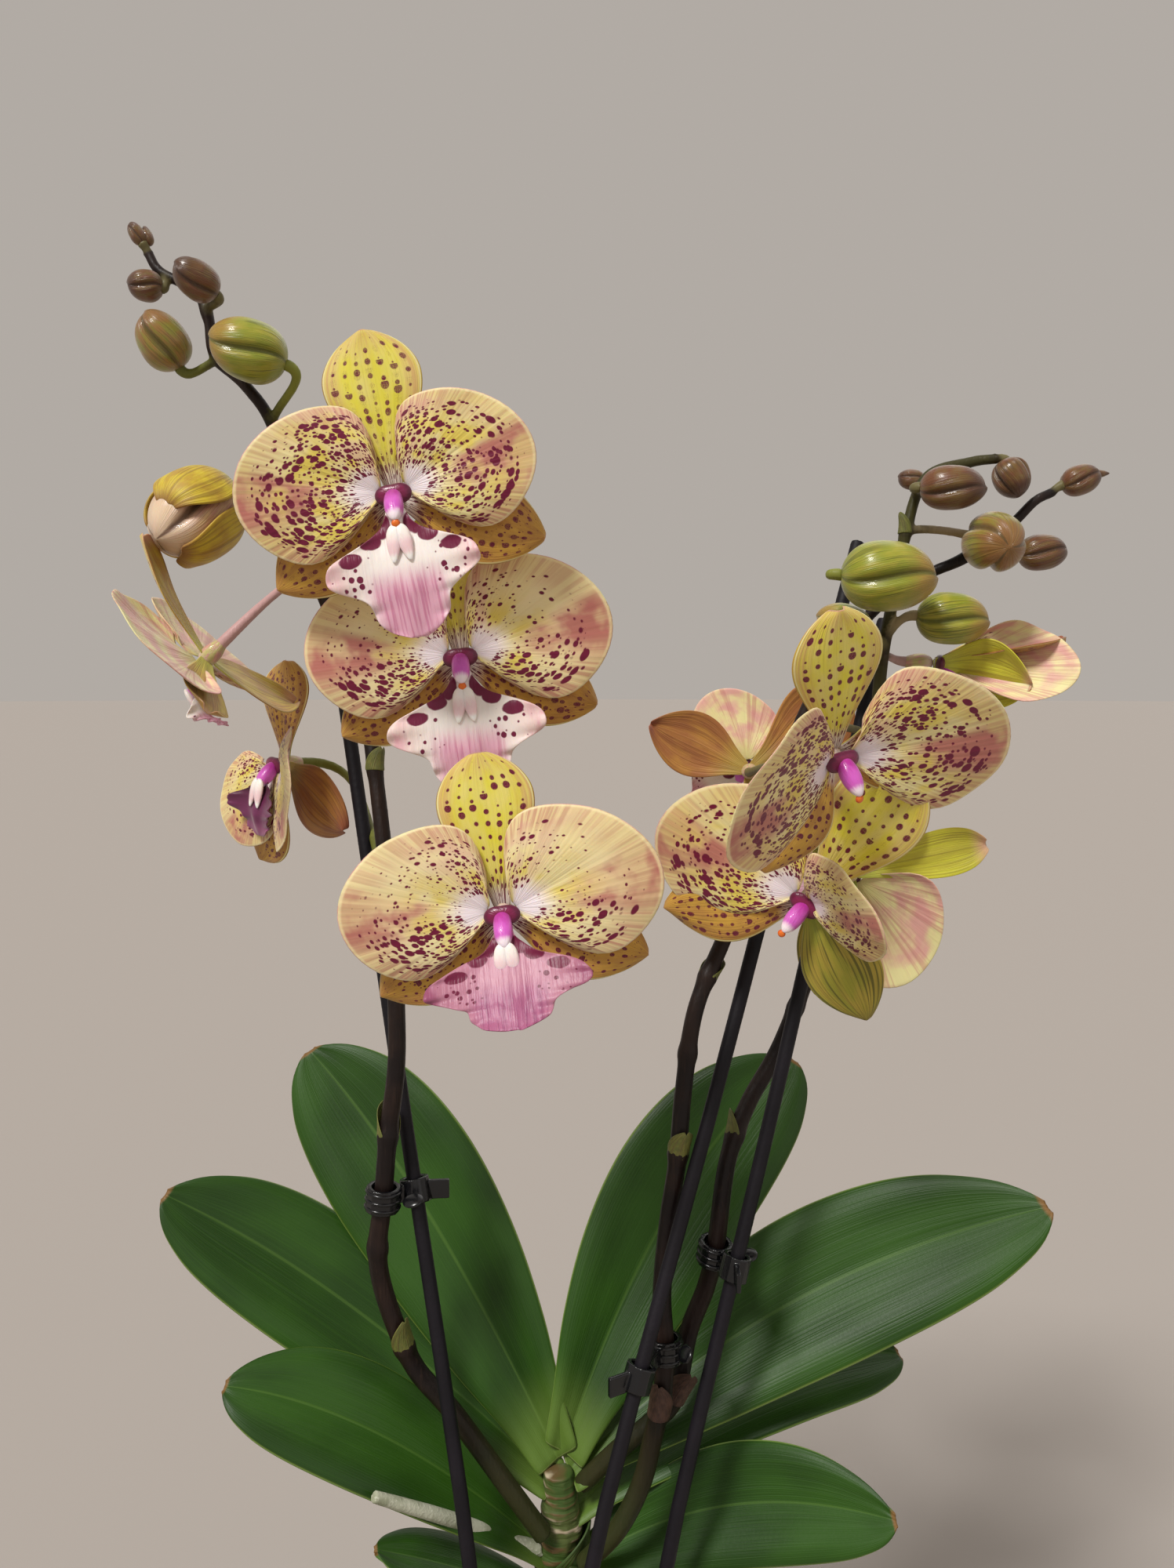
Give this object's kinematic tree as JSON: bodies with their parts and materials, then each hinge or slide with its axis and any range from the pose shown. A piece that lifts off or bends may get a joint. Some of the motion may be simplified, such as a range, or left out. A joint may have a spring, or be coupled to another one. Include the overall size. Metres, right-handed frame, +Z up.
{
  "type": "potted orchid",
  "caption": "Flowering moth orchid in a round pot of bark, its spikes clipped to thin stakes.",
  "frame": {"origin": "centre of the flat underside of the pot", "axes": "+Z up, along the plant's height; -Y is the side that the flowers face; +X to the viewer's right"},
  "size_m": [0.3195, 0.1781, 0.6109],
  "materials": {
    "pot": "satin white glaze",
    "bark": "rough dry bark chips",
    "crown": "dull green stem with papery brown scars",
    "leaf": "thick glossy dark green",
    "root": "pale grey green, velvety",
    "stem": "dark brown purple stem with nodes",
    "stake": "near-black, matte",
    "clip": "black, glossy",
    "petal": "cream yellow with a pink blush and maroon spots",
    "lip": "white and mauve pink with maroon blotches",
    "bud": "olive green to red brown, veined"
  },
  "bodies": {
    "root": {"crown": "crown", "root_aerial_left": "root", "root_aerial_front": "root", "root_aerial_right": "root", "root_aerial_back": "root", "leaf_back_left": "leaf", "leaf_left": "leaf", "leaf_low_left": "leaf", "leaf_front_left": "leaf", "leaf_back_right": "leaf", "leaf_right": "leaf", "leaf_low_right": "leaf", "leaf_front_right": "leaf", "spike_left": "stem", "stake_left": "stake", "spike_middle": "stem", "stake_middle": "stake", "spike_right": "stem", "stake_right": "stake", "clip_left": "clip", "clip_middle": "clip", "clip_right": "clip", "flower_left_1_petals": "petal", "flower_left_1_lip": "lip", "flower_left_2_petals": "petal", "flower_left_2_lip": "lip", "flower_left_3_petals": "petal", "flower_left_3_lip": "lip", "flower_left_4_petals": "petal", "flower_left_4_lip": "lip", "flower_left_5_petals": "petal", "flower_left_5_lip": "lip", "flower_right_1_petals": "petal", "flower_right_1_lip": "lip", "flower_right_2_petals": "petal", "flower_right_2_lip": "lip", "flower_right_3_petals": "petal", "flower_right_3_lip": "lip", "flower_right_4_petals": "petal", "flower_right_4_lip": "lip", "flower_right_5_petals": "petal", "flower_right_5_lip": "lip", "bud_left_1": "bud", "bud_left_2": "bud", "bud_left_3": "bud", "bud_left_4": "bud", "bud_left_5": "bud", "bud_left_opening": "bud", "bud_right_1": "bud", "bud_right_2": "bud", "bud_right_3": "bud", "bud_right_4": "bud", "bud_right_5": "bud", "bud_right_6": "bud", "bud_right_7": "bud", "bud_right_8": "bud", "bud_right_9": "bud", "pot": "pot", "bark": "bark"}
  },
  "joints": []
}
